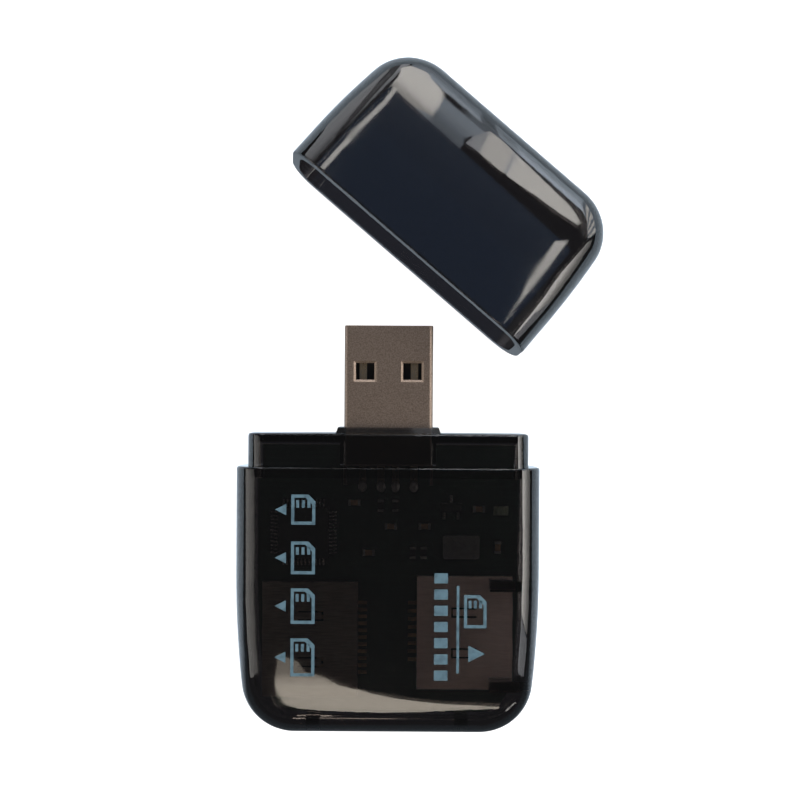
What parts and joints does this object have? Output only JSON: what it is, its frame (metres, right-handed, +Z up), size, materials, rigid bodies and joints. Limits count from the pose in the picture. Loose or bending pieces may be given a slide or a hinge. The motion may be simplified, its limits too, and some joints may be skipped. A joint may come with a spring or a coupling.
{
  "type": "card reader",
  "caption": "Pocket memory card reader in smoke tinted plastic with a plug, side and end card slots, and its pull-off cap lying beside it.",
  "frame": {"origin": "middle of the body's flat underside", "axes": "+Z up out of the front face, +Y along the plug towards its tip, +X towards the micro card slot"},
  "size_m": [0.0498, 0.0921, 0.0129],
  "materials": {
    "smoke_plastic": "clear gloss, smoke tinted",
    "plug_plating": "satin nickel",
    "black_plastic": "moulded",
    "contact_gold": "thin gold plating",
    "socket_steel": "plated sheet",
    "board_laminate": "solder resist over glass laminate",
    "chip_plastic": "moulded",
    "lead_tin": "tinned",
    "chip_ceramic": "fired ceramic with tinned ends",
    "resistor_body": "glazed ceramic with tinned ends",
    "led_resin": "cast resin"
  },
  "bodies": {
    "root": {"front_shell": "smoke_plastic", "back_shell": "smoke_plastic", "cap": "smoke_plastic", "plug_shell": "plug_plating", "plug_tongue": "black_plastic", "micro_socket_frame": "black_plastic", "small_socket_frame": "black_plastic", "large_socket_frame": "black_plastic", "power_contact": "contact_gold", "data_minus_contact": "contact_gold", "data_plus_contact": "contact_gold", "ground_contact": "contact_gold", "micro_socket_contacts": "contact_gold", "small_socket_contacts": "contact_gold", "large_socket_contacts": "contact_gold", "large_socket_inner_contacts": "contact_gold", "micro_socket_cover": "socket_steel", "small_socket_cover": "socket_steel", "large_socket_cover": "socket_steel", "circuit_board": "board_laminate", "controller_chip": "chip_plastic", "regulator": "chip_plastic", "controller_leads": "lead_tin", "regulator_leads": "lead_tin", "crystal": "lead_tin", "capacitor_1": "chip_ceramic", "capacitor_2": "chip_ceramic", "capacitor_3": "chip_ceramic", "capacitor_4": "chip_ceramic", "capacitor_5": "chip_ceramic", "capacitor_6": "chip_ceramic", "resistor_1": "resistor_body", "resistor_2": "resistor_body", "resistor_3": "resistor_body", "resistor_4": "resistor_body", "indicator_led": "led_resin"}
  },
  "joints": []
}
